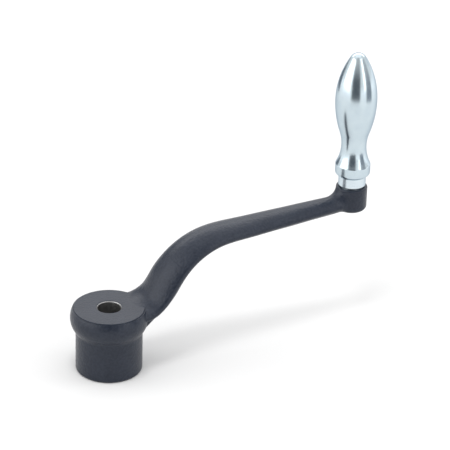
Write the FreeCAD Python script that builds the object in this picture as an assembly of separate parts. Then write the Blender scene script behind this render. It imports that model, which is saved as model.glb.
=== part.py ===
import FreeCAD, Part
import math
import os

# Crank handle: a cast lever with a bored hub at one end and a turned grip that spins on a spindle at the other.
# Millimetres. The origin is on the bore's axis at the hub's lower face, +Z points up the bore to the side of
# the grip, and +X points from the hub to the grip.

# Lever as a whole
throw = 160.0                 # bore axis to spindle axis
seat_rise = 47.5              # from the hub's seat face up to the pin eye's seat face

# Hub
hub_d = 39.5
hub_height = 40.5
hub_foot_r = 1.5              # rounding of the lower edge
hub_eye_d = 46.0              # the barrel that the arm grows out of
hub_eye_round = 13.0          # radius of the barrel's bulge
hub_eye_drop = 6.5            # from the seat face down to the widest place of the barrel
hub_neck_r = 3.0              # hollow corner where the barrel runs into the foot cylinder
seat_d = 42.2
seat_step = 0.6               # the machined seat stands this much above the cast barrel
seat_edge_r = 0.5
bore_d = 14.0
bore_chamfer = 0.7

# Arm: a pointed oval that bends up from the hub, climbs, and bends back to run almost level
root_run = 15.0               # straight stretch inside the hub
low_bend_r = 20.9
climb_deg = 56.5
high_bend_r = 46.0
run_deg = 2.5
root_width = 33.0
climb_width = 29.6
high_bend_width = 22.8
end_width = 12.7
root_thick = 8.4
climb_thick = 15.9
high_bend_thick = 11.8
end_thick = 9.9
crest_drop = 0.3              # the arm's crest starts this much under the seat face
side_r = 2.5                  # rounding along both sides of the arm, where the mould parts
arm_sections = 14
pin_eye_fillet = 8.0

# Knee: a short straight rib that fills the corner between the barrel and the climbing arm
knee_deg = 41.0
knee_width = 27.0
knee_thick = 7.0
knee_drop = 1.1               # it ends this much under the arm's middle line, where the low bend ends

# Pin eye
pin_eye_d = 19.0
pin_eye_height = 15.2
pin_eye_foot_r = 2.5
pin_eye_top_r = 0.8

# Spindle
thread_d = 10.0
thread_gap = 0.05             # radial, in the tapped hole
thread_end_gap = 0.6          # the stud ends this much inside the pin eye
collar_d = 16.5
collar_length = 7.5
collar_foot_d = 14.4          # the collar stands on a narrower foot
collar_foot_height = 0.8
journal_d = 10.0
journal_length = 58.0
spindle_edge = 0.5            # chamfer on every shoulder and end of the spindle
socket_flats = 5.0
socket_depth = 5.0

# Snap ring, which keeps the grip on the journal
ring_thick = 1.0
ring_wide = 1.3               # across its flat face, from the inner to the outer edge
ring_side_gap = 0.1           # between each face of the ring and its groove
ring_inner_d = 9.0
ring_root_d = 7.0             # the groove is deep enough to take the squeezed ring
ring_slit = 2.0
ring_from_end = 5.0           # from the journal's end to the middle of the ring

# Grip
grip_length = 78.5
grip_gap = 0.3                # between the spindle's collar and the grip
grip_d = 25.0
neck_d = 15.1
neck_r = 26.0
cap_d = 21.1                  # the short cylinder at the grip's lower end
cap_length = 7.0
cap_foot_r = 2.0
cap_top_r = 1.5
crown_r = 52.0                # bulge above the widest place
nose_r = 5.5
running_gap = 0.05            # radial, journal in grip
bore_end_gap = 2.0
drill_point_deg = 118.0
ring_room = 0.5               # free space around the ring in the grip's groove

same_place = 0.01             # two heights or radii closer than this are the same

# Heights that several pieces share
pin_seat_z = hub_height + seat_rise
pin_eye_foot_z = pin_seat_z - pin_eye_height
collar_top_z = pin_seat_z + collar_length
journal_end_z = collar_top_z + journal_length
ring_z = journal_end_z - ring_from_end
grip_foot_z = collar_top_z + grip_gap
grip_tip_z = grip_foot_z + grip_length
hub_eye_z = hub_height - hub_eye_drop


def vec(x, z, y=0.0):
    return FreeCAD.Vector(x, y, z)


def line(start, end):
    return Part.LineSegment(start, end).toShape()


def arc(centre, radius, from_deg, to_deg):
    """Arc in the XZ plane, with its angles counted from +X towards +Z."""
    def at(degrees):
        turn = math.radians(degrees)
        return centre + vec(radius * math.cos(turn), radius * math.sin(turn))
    return Part.Arc(at(from_deg), at((from_deg + to_deg) / 2), at(to_deg)).toShape()


def turned(edges, axis_x):
    """Solid of revolution about the upright axis at axis_x."""
    face = Part.Face(Part.Wire(edges))
    return face.revolve(vec(axis_x, 0), vec(0, 1), 360)


def rod(diameter, low_z, high_z, axis_x):
    return Part.makeCylinder(diameter / 2, high_z - low_z, vec(axis_x, low_z))


def cone(low_d, high_d, low_z, high_z, axis_x):
    return Part.makeCone(low_d / 2, high_d / 2, high_z - low_z, vec(axis_x, low_z))


def hub_body():
    """Foot cylinder and the barrel above it, drawn on the side away from the arm so the seam lies there."""
    radius = hub_d / 2
    bulge_x = hub_eye_d / 2 - hub_eye_round
    top_z = hub_height - seat_step
    top_turn = math.asin((top_z - hub_eye_z) / hub_eye_round)
    top_x = bulge_x + hub_eye_round * math.cos(top_turn)
    hollow_x = radius + hub_neck_r
    low_turn = math.acos((hollow_x - bulge_x) / (hub_eye_round + hub_neck_r))
    hollow_z = hub_eye_z - (hub_eye_round + hub_neck_r) * math.sin(low_turn)
    low_turn = math.degrees(low_turn)
    return turned([
        line(vec(0, 0), vec(-radius + hub_foot_r, 0)),
        arc(vec(-radius + hub_foot_r, hub_foot_r), hub_foot_r, 270, 180),
        line(vec(-radius, hub_foot_r), vec(-radius, hollow_z)),
        arc(vec(-hollow_x, hollow_z), hub_neck_r, 0, low_turn),
        arc(vec(-bulge_x, hub_eye_z), hub_eye_round, 180 + low_turn, 180 - math.degrees(top_turn)),
        line(vec(-top_x, top_z), vec(0, top_z)),
        line(vec(0, top_z), vec(0, 0)),
    ], 0)


def pin_eye_body():
    """Upright boss that the spindle is screwed into."""
    out = throw + pin_eye_d / 2
    foot = pin_eye_foot_z
    return turned([
        line(vec(throw, foot), vec(out - pin_eye_foot_r, foot)),
        arc(vec(out - pin_eye_foot_r, foot + pin_eye_foot_r), pin_eye_foot_r, -90, 0),
        line(vec(out, foot + pin_eye_foot_r), vec(out, pin_seat_z - pin_eye_top_r)),
        arc(vec(out - pin_eye_top_r, pin_seat_z - pin_eye_top_r), pin_eye_top_r, 0, 90),
        line(vec(out - pin_eye_top_r, pin_seat_z), vec(throw, pin_seat_z)),
        line(vec(throw, pin_seat_z), vec(throw, foot)),
    ], throw)


class ArmPath:
    """Middle line of the arm: level, low bend, climb, high bend, and an almost level run to the pin eye."""

    def __init__(self):
        climb = math.radians(climb_deg)
        run = math.radians(run_deg)
        root_z = hub_height - crest_drop - root_thick / 2
        end_z = pin_eye_foot_z + end_thick / 2
        bends_x = low_bend_r * math.sin(climb) + high_bend_r * (math.sin(climb) - math.sin(run))
        bends_z = low_bend_r * (1 - math.cos(climb)) + high_bend_r * (math.cos(run) - math.cos(climb))
        level_x = throw - root_run - bends_x
        climb_length = (end_z - root_z - bends_z - level_x * math.tan(run)) / (
            math.sin(climb) - math.cos(climb) * math.tan(run))
        last_x = level_x - climb_length * math.cos(climb)
        self.legs = [
            (root_run, 0.0, 0.0),
            (low_bend_r * climb, 0.0, climb),
            (climb_length, climb, climb),
            (high_bend_r * (climb - run), climb, run),
            (last_x / math.cos(run), run, run),
        ]
        self.start = vec(0, root_z)
        self.length = sum(leg[0] for leg in self.legs)

    def at(self, travel):
        """Place on the line and its slope, after so much travel from the bore's axis."""
        place = self.start
        for length, before, after in self.legs:
            step = min(travel, length)
            slope = before + (after - before) * step / length
            if before == after:
                place = place + vec(math.cos(slope), math.sin(slope)) * step
            else:
                radius = length / (after - before)
                place = place + vec(math.sin(slope) - math.sin(before), math.cos(before) - math.cos(slope)) * radius
            travel -= step
            if travel <= 0:
                break
        return place, slope

    def blend(self, travel, sizes):
        """Size of the section after so much travel, from its sizes at the ends of the legs."""
        for (length, _, _), here, there in zip(self.legs, sizes, sizes[1:]):
            if travel <= length:
                return here + (there - here) * travel / length
            travel -= length
        return sizes[-1]


def pointed_oval(place, slope, width, thick):
    """Section square to a line that climbs at this slope: an arc over it, one under it, and a round on each side."""
    upward = vec(-math.sin(slope), math.cos(slope))
    side_at = width / 2 - side_r
    broad_r = (side_at ** 2 + thick ** 2 / 4 - side_r ** 2) / (thick - 2 * side_r)
    turn = math.asin(side_at / (broad_r - side_r))
    joint_out = side_at + side_r * math.sin(turn)
    joint_up = side_r * math.cos(turn)

    def at(out, up):
        return place + vec(0, 0, out) + upward * up

    def bow(start, middle, end):
        return Part.Arc(at(*start), at(*middle), at(*end)).toShape()
    return Part.Wire([
        bow((-joint_out, joint_up), (0, thick / 2), (joint_out, joint_up)),
        bow((joint_out, joint_up), (width / 2, 0), (joint_out, -joint_up)),
        bow((joint_out, -joint_up), (0, -thick / 2), (-joint_out, -joint_up)),
        bow((-joint_out, -joint_up), (-width / 2, 0), (-joint_out, joint_up)),
    ])


def arm_body(path):
    """Sections along the middle line, lofted from the bore's axis to the spindle's axis."""
    widths = [root_width, root_width, climb_width, climb_width, high_bend_width, end_width]
    thicks = [root_thick, root_thick, climb_thick, climb_thick, high_bend_thick, end_thick]
    sections = []
    for number in range(arm_sections + 1):
        travel = path.length * number / arm_sections
        place, slope = path.at(travel)
        sections.append(pointed_oval(place, slope, path.blend(travel, widths), path.blend(travel, thicks)))
    return Part.makeLoft(sections, True, False)


def knee_body(path):
    """Straight rib from the bore's axis to a place inside the arm, under the end of the low bend."""
    lean = math.radians(knee_deg)
    bend_end, slope = path.at(path.legs[0][0] + path.legs[1][0])
    end = bend_end + vec(math.sin(slope), -math.cos(slope)) * knee_drop
    start = end - vec(math.cos(lean), math.sin(lean)) * (end.x / math.cos(lean))
    return Part.makeLoft([pointed_oval(place, lean, knee_width, knee_thick) for place in (start, end)], True, True)


def pin_eye_joint(shape):
    """Edges where the arm runs into the pin eye's upright wall."""
    found = []
    for edge in shape.Edges:
        reaches = [math.hypot(vertex.X - throw, vertex.Y) for vertex in edge.Vertexes]
        on_wall = max(abs(reach - pin_eye_d / 2) for reach in reaches) < same_place
        if on_wall and not isinstance(edge.Curve, (Part.Circle, Part.Line)):
            found.append(edge)
    return found


def crank_arm():
    """The whole casting, with its machined seat, bore and tapped hole."""
    barrel_top_z = hub_height - seat_step
    path = ArmPath()
    body = arm_body(path).fuse([hub_body(), pin_eye_body(), knee_body(path)])
    body = body.makeFillet(pin_eye_fillet, pin_eye_joint(body))
    seat = rod(seat_d, barrel_top_z, hub_height, 0)
    rim = [edge for edge in seat.Edges if edge.BoundBox.ZMin > barrel_top_z + seat_step / 2]
    body = body.fuse(seat.makeFillet(seat_edge_r, rim))
    return body.cut([
        rod(bore_d, 0, hub_height, 0),
        cone(bore_d + 2 * bore_chamfer, bore_d, 0, bore_chamfer, 0),
        cone(bore_d, bore_d + 2 * bore_chamfer, hub_height - bore_chamfer, hub_height, 0),
        rod(thread_d, pin_eye_foot_z, pin_seat_z, throw),
    ])


def stepped_rod(steps, edge):
    """Coaxial rods on the spindle's axis, each with its ends chamfered."""
    rods = []
    for diameter, low_z, high_z in steps:
        solid = rod(diameter, low_z, high_z, throw)
        rims = [rim for rim in solid.Edges if isinstance(rim.Curve, Part.Circle)]
        rods.append(solid.makeChamfer(edge, rims))
    return rods[0].fuse(rods[1:])


def spindle():
    """Threaded stud, collar and journal in one turned piece, with a hexagon socket in the stud's end."""
    stud_d = thread_d - 2 * thread_gap
    stud_foot_z = pin_eye_foot_z + thread_end_gap
    collar_z = pin_seat_z + collar_foot_height
    body = stepped_rod([
        (stud_d, stud_foot_z, collar_z + spindle_edge),
        (collar_d, collar_z, collar_top_z),
        (journal_d, collar_top_z - spindle_edge, journal_end_z),
    ], spindle_edge)
    body = body.fuse(rod(collar_foot_d, pin_seat_z, collar_z, throw))
    groove_half = ring_thick / 2 + ring_side_gap
    groove = rod(journal_d, ring_z - groove_half, ring_z + groove_half, throw).cut(
        rod(ring_root_d, ring_z - groove_half, ring_z + groove_half, throw))
    corner = socket_flats / math.sqrt(3)
    corners = [vec(throw + corner * math.cos(math.radians(turn)), stud_foot_z,
                   corner * math.sin(math.radians(turn))) for turn in range(0, 361, 60)]
    socket = Part.Face(Part.makePolygon(corners)).extrude(vec(0, socket_depth))
    return body.cut([groove, socket])


def snap_ring():
    """Flat spring ring with a slit, seen only when the grip is taken off."""
    low_z = ring_z - ring_thick / 2
    outer_d = ring_inner_d + 2 * ring_wide
    ring = rod(outer_d, low_z, low_z + ring_thick, throw).cut(
        rod(ring_inner_d, low_z, low_z + ring_thick, throw))
    slit = Part.makeBox(outer_d, ring_slit, ring_thick, vec(throw, low_z, -ring_slit / 2))
    return ring.cut(slit)


def grip_body():
    """Outside of the grip: nose, crown, taper, neck and cap, each arc tangent to the next."""
    belly = grip_d / 2
    neck = neck_d / 2
    cap = cap_d / 2
    crown_rise = math.sqrt((crown_r - nose_r) ** 2 - (crown_r - belly) ** 2)
    belly_z = grip_tip_z - nose_r - crown_rise
    cap_top_z = grip_foot_z + cap_length
    neck_rise = math.sqrt(neck_r ** 2 - (neck_r - cap + neck) ** 2)
    neck_z = cap_top_z + neck_rise
    inward = belly - neck
    taper_r = ((belly_z - neck_z) ** 2 + inward ** 2) / (2 * inward) - neck_r
    nose_turn = math.degrees(math.atan2(crown_rise, crown_r - belly))
    taper_turn = math.degrees(math.atan2(belly_z - neck_z, taper_r + neck_r - inward))
    cap_turn = math.degrees(math.asin(neck_rise / neck_r))
    body = turned([
        line(vec(throw, grip_foot_z), vec(throw + cap - cap_foot_r, grip_foot_z)),
        arc(vec(throw + cap - cap_foot_r, grip_foot_z + cap_foot_r), cap_foot_r, -90, 0),
        line(vec(throw + cap, grip_foot_z + cap_foot_r), vec(throw + cap, cap_top_z)),
        arc(vec(throw + neck + neck_r, neck_z), neck_r, 180 + cap_turn, 180 - taper_turn),
        arc(vec(throw + belly - taper_r, belly_z), taper_r, -taper_turn, 0),
        arc(vec(throw + belly - crown_r, belly_z), crown_r, 0, nose_turn),
        arc(vec(throw, grip_tip_z - nose_r), nose_r, nose_turn, 90),
        line(vec(throw, grip_tip_z), vec(throw, grip_foot_z)),
    ], throw)
    rims = [edge for edge in body.Edges
            if edge.BoundBox.ZLength < same_place and abs(edge.BoundBox.ZMin - cap_top_z) < same_place]
    return body.makeFillet(cap_top_r, rims)


def grip():
    """The turned grip, bored from below for the journal, with a groove inside for the snap ring."""
    bore_size = journal_d + 2 * running_gap
    bore_end_z = journal_end_z + bore_end_gap
    point_height = bore_size / 2 / math.tan(math.radians(drill_point_deg / 2))
    room_d = ring_inner_d + 2 * (ring_wide + ring_room)
    room_half = ring_thick / 2 + ring_room
    return grip_body().cut([
        rod(bore_size, grip_foot_z, bore_end_z, throw),
        cone(bore_size, 0, bore_end_z, bore_end_z + point_height, throw),
        cone(bore_size + 2 * spindle_edge, bore_size, grip_foot_z, grip_foot_z + spindle_edge, throw),
        rod(room_d, ring_z - room_half, ring_z + room_half, throw),
    ])


os.makedirs("parts", exist_ok=True)
pieces = {
    "crank_arm": crank_arm(),
    "spindle": spindle(),
    "snap_ring": snap_ring(),
    "grip": grip(),
}
for node, shape in pieces.items():
    shape.exportStep(f"parts/{node}.step")
    print(node, "valid" if shape.isValid() else "broken", round(shape.Volume, 1), "mm3")
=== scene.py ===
import math

import bmesh
import bpy
from mathutils import Matrix, Vector


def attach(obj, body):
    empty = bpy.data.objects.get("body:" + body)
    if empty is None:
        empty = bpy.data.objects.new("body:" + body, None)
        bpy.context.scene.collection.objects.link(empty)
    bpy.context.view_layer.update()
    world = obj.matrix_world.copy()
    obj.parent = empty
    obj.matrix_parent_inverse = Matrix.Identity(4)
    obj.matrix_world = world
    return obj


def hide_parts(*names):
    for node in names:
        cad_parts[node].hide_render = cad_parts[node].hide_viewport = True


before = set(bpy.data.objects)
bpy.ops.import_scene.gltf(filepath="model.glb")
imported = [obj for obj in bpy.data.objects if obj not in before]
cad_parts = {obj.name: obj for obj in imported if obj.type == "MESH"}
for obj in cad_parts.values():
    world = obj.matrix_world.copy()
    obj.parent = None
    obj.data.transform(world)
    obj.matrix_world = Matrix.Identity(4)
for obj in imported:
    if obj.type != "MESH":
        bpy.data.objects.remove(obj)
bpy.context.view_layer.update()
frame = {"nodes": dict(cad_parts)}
print("frame loaded:", ", ".join(frame["nodes"]))


class Wire:
    # a socket of a shader node that takes part in plain arithmetic
    def __init__(self, finish, socket):
        self.finish = finish
        self.socket = socket

    def combine(self, operation, *terms):
        return self.finish.node("ShaderNodeMath", {"operation": operation}, dict(enumerate(terms)))

    def __add__(self, other):
        return self.combine("ADD", self, other)

    def __rsub__(self, other):
        return self.combine("SUBTRACT", other, self)

    def __mul__(self, other):
        return self.combine("MULTIPLY", self, other)

    __radd__ = __add__
    __rmul__ = __mul__

    def root(self):
        return self.combine("SQRT", self)

    def most(self, other):
        return self.combine("MAXIMUM", self, other)

    def rise(self, low, high):
        # 0 below low, 1 above high, straight between them
        sockets = {"Value": self, "From Min": low, "From Max": high}
        return self.finish.node("ShaderNodeMapRange", {}, sockets)


class Finish:
    # the nodes of a material, or of the surroundings, made anew
    def __init__(self, owner):
        self.owner = owner
        self.owner.use_nodes = True
        self.tree = self.owner.node_tree
        self.tree.nodes.clear()

    def plug(self, slot, value):
        if isinstance(value, Wire):
            self.tree.links.new(value.socket, slot)
        else:
            slot.default_value = value

    def node(self, kind, settings=None, sockets=None, out=0):
        made = self.tree.nodes.new(kind)
        for name, value in (settings or {}).items():
            setattr(made, name, value)
        for name, value in (sockets or {}).items():
            self.plug(made.inputs[name], value)
        return Wire(self, made.outputs[out] if made.outputs else None)

    def place(self, shift=(0, 0, 0), stretch=(1, 1, 1)):
        # object coordinates, moved and stretched
        coordinate = self.node("ShaderNodeTexCoord", out="Object")
        sockets = {"Vector": coordinate, "Location": shift, "Scale": stretch}
        return self.node("ShaderNodeMapping", {}, sockets)

    def along(self, place, axis):
        return self.node("ShaderNodeSeparateXYZ", {}, {"Vector": place}, out=axis)

    def radius(self, place):
        # distance from the upright axis through the place's zero point
        x = self.along(place, "X")
        y = self.along(place, "Y")
        return (x * x + y * y).root()

    def noise(self, place, size, detail):
        # size is the width of a blotch in metres
        sockets = {"Vector": place, "Scale": 1 / size, "Detail": detail}
        return self.node("ShaderNodeTexNoise", {}, sockets)

    def mix(self, mask, first, second):
        # a Mix node has its factor at 0, and its two colours at 6 and 7
        sockets = {0: mask, 6: first, 7: second}
        return self.node("ShaderNodeMix", {"data_type": "RGBA"}, sockets, out=2)

    def bump(self, height, depth, under=None):
        sockets = {"Height": height, "Distance": depth}
        if under:
            sockets["Normal"] = under
        return self.node("ShaderNodeBump", {}, sockets)

    def surface(self, **sockets):
        named = {name.replace("_", " "): value for name, value in sockets.items()}
        shader = self.node("ShaderNodeBsdfPrincipled", {}, named)
        self.node("ShaderNodeOutputMaterial", {}, {"Surface": shader})
        return self.owner


castCoat = {
    "colour": (0.0120, 0.0168, 0.0292, 1),
    "paleColour": (0.0202, 0.0260, 0.0410, 1),
    "bareColour": (0.42, 0.42, 0.42, 1),
    "roughness": 0.27,
    "grainRoughness": 0.16,    # added with the grain's height
    "bareRoughness": 0.04,     # added on bare metal
    "gloss": 0.33,
    "boreRadius": 0.0074,      # the bore and the inner part of its chamfers are bare metal
    "holeRadius": 0.0052,      # so is the tapped hole in the pin eye
    "coatEdge": 0.00004,
    "spindleX": 0.160,
    "cloud": 0.009,
    "cloudShare": 0.3,         # of the speckle, and the grain makes the rest
    "speckleFrom": 0.38,
    "speckleTo": 0.62,
    "grain": 0.0014,
    "grainDepth": 0.00018,
    "peel": 0.0028,
    "peelDepth": 0.00009,
}


def makeCoatedIron(name):
    look = castCoat
    finish = Finish(bpy.data.materials.new(name))
    place = finish.place()
    atPin = finish.place(shift=(-look["spindleX"], 0, 0))
    edge = look["coatEdge"]
    inBore = 1 - finish.radius(place).rise(look["boreRadius"] - edge, look["boreRadius"])
    inHole = 1 - finish.radius(atPin).rise(look["holeRadius"] - edge, look["holeRadius"])
    bare = inBore.most(inHole)
    cloud = finish.noise(place, look["cloud"], detail=3.0)
    grain = finish.noise(place, look["grain"], detail=3.0)
    peel = finish.noise(place, look["peel"], detail=1.0)
    speckle = cloud * look["cloudShare"] + grain * (1 - look["cloudShare"])
    speckle = speckle.rise(look["speckleFrom"], look["speckleTo"])
    coat = finish.mix(speckle, look["colour"], look["paleColour"])
    texture = finish.bump(peel, look["peelDepth"])
    texture = finish.bump(grain, look["grainDepth"], under=texture)
    return finish.surface(
        Base_Color=finish.mix(bare, coat, look["bareColour"]),
        Roughness=look["roughness"] + grain * look["grainRoughness"] + bare * look["bareRoughness"],
        Specular_IOR_Level=look["gloss"],
        Metallic=bare,
        Normal=texture,
    )


turnedSteel = {
    "colour": (0.54, 0.63, 0.685, 1),
    "paleColour": (0.58, 0.67, 0.715, 1),
    "edgeColour": (0.50, 0.55, 0.60, 1),    # tint of the surface seen edge on
    "roughness": 0.16,
    "lineRoughness": 0.05,
    "lineWidth": 0.00025,      # spacing of the turning marks
    "lineStretch": 0.02,       # the marks run round the axis, so they hardly change sideways
    "lineDepth": 0.000002,
    "cloud": 0.006,
    "cloudFrom": 0.35,
    "cloudTo": 0.65,
    "cloudRoughness": 0.03,
}

spindleSteel = dict(
    turnedSteel,
    colour=(0.64, 0.72, 0.77, 1),
    paleColour=(0.68, 0.76, 0.80, 1),
    roughness=0.20,
    lineDepth=0.000004,
)

springWire = dict(
    turnedSteel,
    colour=(0.30, 0.30, 0.31, 1),
    paleColour=(0.40, 0.40, 0.41, 1),
    edgeColour=(0.60, 0.60, 0.60, 1),
    roughness=0.35,
    lineWidth=0.0004,
    lineDepth=0.000004,
)


def makeTurnedSteel(name, look):
    finish = Finish(bpy.data.materials.new(name))
    turned = finish.place(stretch=(look["lineStretch"], look["lineStretch"], 1))
    lines = finish.noise(turned, look["lineWidth"], detail=2.0)
    cloud = finish.noise(finish.place(), look["cloud"], detail=2.0)
    paling = cloud.rise(look["cloudFrom"], look["cloudTo"])
    return finish.surface(
        Base_Color=finish.mix(paling, look["colour"], look["paleColour"]),
        Roughness=look["roughness"] + lines * look["lineRoughness"] + cloud * look["cloudRoughness"],
        Metallic=1.0,
        Specular_Tint=look["edgeColour"],
        Normal=finish.bump(lines, look["lineDepth"]),
    )


platedGrip = makeTurnedSteel("plated grip", turnedSteel)
nodeFinishes = {
    "crank_arm": makeCoatedIron("coated iron"),
    "spindle": makeTurnedSteel("plated steel", spindleSteel),
    "snap_ring": makeTurnedSteel("spring steel", springWire),
}
for node, material in nodeFinishes.items():
    frame["nodes"][node].material_slots[0].material = material
print("materials made")

weldDistance = 0.000001
sharpAngle = 30                # degrees, and an edge that bends less is shaded smooth


def traceLine(mesh, corner, step):
    # draws an edge from the corner and gives back its far end
    made = bmesh.ops.extrude_vert_indiv(mesh, verts=[corner])
    bmesh.ops.translate(mesh, verts=made["verts"], vec=step)
    return made["verts"][0]


def traceArc(mesh, corner, centre, degrees, steps):
    # swings the corner about the centre in the XZ plane, from +X towards +Z when degrees are positive
    made = bmesh.ops.spin(mesh, geom=[corner], cent=centre, axis=(0, -1, 0), dvec=(0, 0, 0),
                          angle=math.radians(degrees), steps=steps, use_duplicate=False)
    return made["geom_last"][0]


def turn(mesh, axisX, steps):
    # spins the whole profile about the upright axis and closes the shell
    bmesh.ops.spin(mesh, geom=mesh.verts[:] + mesh.edges[:], cent=(axisX, 0, 0), axis=(0, 0, 1),
                   dvec=(0, 0, 0), angle=math.tau, steps=steps, use_merge=True, use_duplicate=False)
    bmesh.ops.remove_doubles(mesh, verts=mesh.verts[:], dist=weldDistance)
    bmesh.ops.recalc_face_normals(mesh, faces=mesh.faces[:])


def placeMesh(mesh, name, material):
    # makes the object at the origin, with its place in its mesh
    data = bpy.data.meshes.new(name)
    mesh.to_mesh(data)
    mesh.free()
    data.materials.append(material)
    thing = bpy.data.objects.new(name, data)
    bpy.context.collection.objects.link(thing)
    return thing


def finishPiece(mesh, name, material, body):
    for face in mesh.faces:
        face.smooth = True
    for edge in mesh.edges:
        if len(edge.link_faces) == 2 and edge.calc_face_angle() > math.radians(sharpAngle):
            edge.smooth = False
    piece = placeMesh(mesh, name, material)
    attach(piece, body)
    return piece


turnedGrip = {
    "axisX": 0.160,
    "footZ": 0.0958,
    "length": 0.078499,        # a micrometre less than in the CAD, as the belly is, to stay in its box
    "bellyRadius": 0.012499,
    "neckRadius": 0.00755,
    "neckCurve": 0.026,
    "capRadius": 0.01055,
    "capLength": 0.007,
    "capFoot": 0.002,          # rounding of the cap's lower edge
    "capTop": 0.0015,          # rounding of its upper edge
    "crownCurve": 0.052,
    "noseCurve": 0.0055,
    "boreRadius": 0.00505,
    "boreDepth": 0.0597,
    "boreChamfer": 0.0005,
    "footSteps": 10,
    "capTopSteps": 6,
    "neckSteps": 28,
    "taperSteps": 16,
    "crownSteps": 24,
    "noseSteps": 12,
    "around": 128,
}


def makeGrip():
    size = turnedGrip
    axis = size["axisX"]
    tipZ = size["footZ"] + size["length"]
    capTopZ = size["footZ"] + size["capLength"]
    crownRise = math.sqrt((size["crownCurve"] - size["noseCurve"]) ** 2
                          - (size["crownCurve"] - size["bellyRadius"]) ** 2)
    bellyZ = tipZ - size["noseCurve"] - crownRise
    flare = size["capRadius"] - size["neckRadius"]
    neckRise = math.sqrt(size["neckCurve"] ** 2 - (size["neckCurve"] - flare) ** 2)
    neckZ = capTopZ + neckRise
    inward = size["bellyRadius"] - size["neckRadius"]
    taperCurve = ((bellyZ - neckZ) ** 2 + inward ** 2) / (2 * inward) - size["neckCurve"]
    noseTurn = math.degrees(math.atan2(crownRise, size["crownCurve"] - size["bellyRadius"]))
    taperTurn = math.degrees(math.atan2(bellyZ - neckZ, taperCurve + size["neckCurve"] - inward))
    capTurn = math.degrees(math.asin(neckRise / size["neckCurve"]))
    footWidth = size["capRadius"] - size["capFoot"] - size["boreRadius"] - size["boreChamfer"]
    neckCentre = (axis + size["neckRadius"] + size["neckCurve"], 0, neckZ)
    taperCentre = (axis + size["bellyRadius"] - taperCurve, 0, bellyZ)
    crownCentre = (axis + size["bellyRadius"] - size["crownCurve"], 0, bellyZ)
    noseCentre = (axis, 0, tipZ - size["noseCurve"])

    mesh = bmesh.new()
    end = mesh.verts.new((axis, 0, size["footZ"] + size["boreDepth"]))
    end = traceLine(mesh, end, (size["boreRadius"], 0, 0))
    end = traceLine(mesh, end, (0, 0, size["boreChamfer"] - size["boreDepth"]))
    end = traceLine(mesh, end, (size["boreChamfer"], 0, -size["boreChamfer"]))
    end = traceLine(mesh, end, (footWidth, 0, 0))
    end = traceArc(mesh, end, end.co + Vector((0, 0, size["capFoot"])), 90, size["footSteps"])
    capTop = traceLine(mesh, end, (0, 0, size["capLength"] - size["capFoot"]))
    end = traceArc(mesh, capTop, neckCentre, -capTurn - taperTurn, size["neckSteps"])
    end = traceArc(mesh, end, taperCentre, taperTurn, size["taperSteps"])
    end = traceArc(mesh, end, crownCentre, noseTurn, size["crownSteps"])
    traceArc(mesh, end, noseCentre, 90 - noseTurn, size["noseSteps"])
    rounding = size["capTop"] * math.tan(math.radians(capTurn / 2))
    bmesh.ops.bevel(mesh, geom=[capTop], offset=rounding, affect="VERTICES",
                    segments=size["capTopSteps"], profile=0.5, material=-1)
    turn(mesh, axis, size["around"])
    return finishPiece(mesh, "turnedGrip", platedGrip, "grip")


grip = makeGrip()
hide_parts("grip")
print("grip turned")

camera = {
    "target": (0.080, 0, 0.060),
    "azimuth": -27.546,
    "elevation": 27.148,
    "roll": 1.625,
    "distance": 1.497779,
    "slide": (-0.004212, 0.015643),
    "lens": 201.680,
    "sensor": 36,
    "farClip": 30,
}


def makeCamera():
    data = bpy.data.cameras.new("camera")
    data.lens = camera["lens"]
    data.sensor_width = camera["sensor"]
    data.clip_end = camera["farClip"]
    eye = bpy.data.objects.new("camera", data)
    bpy.context.collection.objects.link(eye)
    look = Matrix.Rotation(math.radians(camera["azimuth"]), 4, "Z")
    look = look @ Matrix.Rotation(math.radians(90 - camera["elevation"]), 4, "X")
    look = look @ Matrix.Rotation(math.radians(camera["roll"]), 4, "Z")
    look = Matrix.Translation(camera["target"]) @ look
    eye.matrix_world = look @ Matrix.Translation((*camera["slide"], camera["distance"]))
    bpy.context.scene.camera = eye


def compass(azimuth, elevation, distance):
    # a place around the target, with azimuth 0 on the camera's side and positive to its right
    heading = math.radians(azimuth + camera["azimuth"] - 90)
    flat = distance * math.cos(math.radians(elevation))
    high = distance * math.sin(math.radians(elevation))
    return Vector(camera["target"]) + Vector((flat * math.cos(heading), flat * math.sin(heading), high))


def aim(thing, place):
    thing.location = place
    thing.rotation_euler = (Vector(camera["target"]) - place).to_track_quat("-Z", "Y").to_euler()


softboxes = {
    # azimuth, elevation, distance, width, height, watts, lights matt surfaces, shows in reflections
    "overhead": (175, 80, 1.3, 1.2, 1.1, 1.8, True, True),
    "backGleam": (180, 44, 1.3, 2.4, 0.6, 8.6, False, True),
    "key": (-24, 76, 1.3, 0.30, 0.28, 4.6, True, False),
    "leftStrip": (-94, 30, 1.4, 0.6, 0.8, 2.4, True, False),
    "rightStrip": (92, 30, 1.4, 0.6, 0.8, 3.6, True, False),
    "leftGleam": (-66, 24, 1.3, 1.3, 1.10, 6.8, False, True),
    "rightGleam": (53, 29, 0.9, 0.29, 0.85, 1.15, False, True),
}


def makeLights():
    for name, row in softboxes.items():
        azimuth, elevation, distance, width, height, watts, lightsMatt, shows = row
        data = bpy.data.lights.new(name, "AREA")
        data.shape = "RECTANGLE"
        data.size = width
        data.size_y = height
        data.energy = watts
        lamp = bpy.data.objects.new(name, data)
        bpy.context.collection.objects.link(lamp)
        lamp.visible_diffuse = lightsMatt
        lamp.visible_glossy = shows
        aim(lamp, compass(azimuth, elevation, distance))


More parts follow.
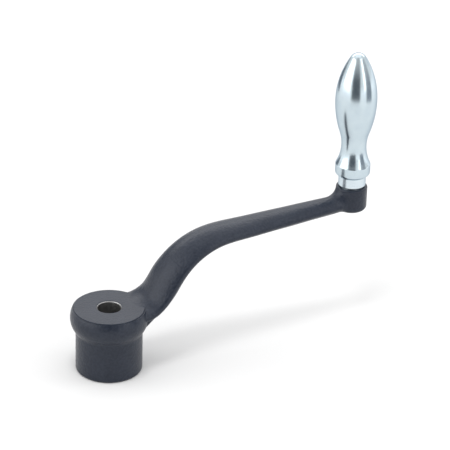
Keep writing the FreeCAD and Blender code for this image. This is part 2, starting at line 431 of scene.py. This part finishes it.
studio = {
    "fill": 1.0,               # what the white surroundings give off as light
    "floorColour": 0.735,
    "floorRoughness": 0.9,
    "floorReach": 20,
    "floorGlow": 0.045,
    "farGlow": 0.65,           # the floor whitens with distance, to meet the white surroundings
    "nearFloor": 0.3,
    "farFloor": 1.6,
    "tableEdge": 0.51,         # where the glowing panels of painted reflection stand
    # cool tint of the painted reflections on the glowing panels
    "reflectionTint": (1, 1.1, 1.25),
}


def grey(tone):
    return (tone, tone, tone, 1)


# colour of a painted reflection's darker foot, tinted cool
def coolGrey(tone):
    return (*(tone * share for share in studio["reflectionTint"]), 1)


def seenDirectly(finish):
    # 1 for the camera, for reflections and through glass, 0 for the light that falls on things
    camRay = finish.node("ShaderNodeLightPath", out="Is Camera Ray")
    glossyRay = finish.node("ShaderNodeLightPath", out="Is Glossy Ray")
    throughRay = finish.node("ShaderNodeLightPath", out="Is Transmission Ray")
    return camRay.most(glossyRay).most(throughRay)


def makeSurroundings():
    world = bpy.data.worlds.new("surroundings")
    bpy.context.scene.world = world
    air = Finish(world)
    strength = studio["fill"] + seenDirectly(air) * (1 - studio["fill"])
    light = air.node("ShaderNodeBackground", {}, {"Color": grey(1), "Strength": strength})
    air.node("ShaderNodeOutputWorld", {}, {"Surface": light})


def makeFloor():
    paper = Finish(bpy.data.materials.new("paper"))
    far = paper.radius(paper.place()).rise(studio["nearFloor"], studio["farFloor"])
    material = paper.surface(
        Base_Color=grey(studio["floorColour"]),
        Roughness=studio["floorRoughness"],
        Specular_IOR_Level=0.0,
        Emission_Color=paper.mix(far, grey(studio["floorGlow"]), grey(studio["farGlow"])),
        Emission_Strength=seenDirectly(paper),
    )
    mesh = bmesh.new()
    bmesh.ops.create_grid(mesh, x_segments=1, y_segments=1, size=studio["floorReach"])
    floor = placeMesh(mesh, "floor", material)


paintedReflections = {
    # azimuth, width, height, glowing tone of the foot, glowing tone of the top, heights that the tone
    # changes between; these tones are painted reflections
    "paintedReflectionBehindCamera": (-1, 0.50, 1.50, 0.11, 0.62, 0.28, 0.55),
    "paintedReflectionRight": (76, 0.29, 0.50, 0.28, 0.70, 0.10, 0.45),
    "paintedReflectionBackLeft": (-140, 0.33, 0.22, 0.22, 0.50, 0.10, 0.22),
}


def makePaintedReflections():
    # glowing grey panels that only reflections see, standing where a photographer's tent would hang
    # dark cloths: they paint dark reflections into the metal, darker at the foot and paler towards the
    # top
    upright = Matrix.Rotation(math.radians(90), 3, "X")
    for name, row in paintedReflections.items():
        azimuth, width, height, footTone, topTone, paleFrom, paleTo = row
        reflectionPanel = Finish(bpy.data.materials.new(name))
        # painted reflection: the panel's glow pales from its foot to its top
        paling = reflectionPanel.along(reflectionPanel.place(), "Z").rise(paleFrom, paleTo)
        # the panel is black and glows with its tone though it is no lamp, which paints the reflection
        material = reflectionPanel.surface(
            Base_Color=grey(0),
            Specular_IOR_Level=0.0,
            Emission_Color=reflectionPanel.mix(paling, coolGrey(footTone), grey(topTone)),
            Emission_Strength=1.0,
        )
        heading = Matrix.Rotation(math.radians(azimuth + camera["azimuth"]), 3, "Z")
        spot = compass(azimuth, 0, studio["tableEdge"])
        mesh = bmesh.new()
        bmesh.ops.create_grid(mesh, x_segments=1, y_segments=1, size=0.5)
        bmesh.ops.scale(mesh, vec=(width, height, 1), verts=mesh.verts[:])
        bmesh.ops.rotate(mesh, cent=(0, 0, 0), matrix=heading @ upright, verts=mesh.verts[:])
        bmesh.ops.translate(mesh, vec=(spot.x, spot.y, height / 2), verts=mesh.verts[:])
        flag = placeMesh(mesh, name, material)
        flag.visible_camera = False
        flag.visible_diffuse = False
        flag.visible_shadow = False
        flag.visible_transmission = False


bpy.context.scene.view_settings.view_transform = "Standard"
makeCamera()
makeLights()
makeSurroundings()
makeFloor()
makePaintedReflections()
print("studio set")
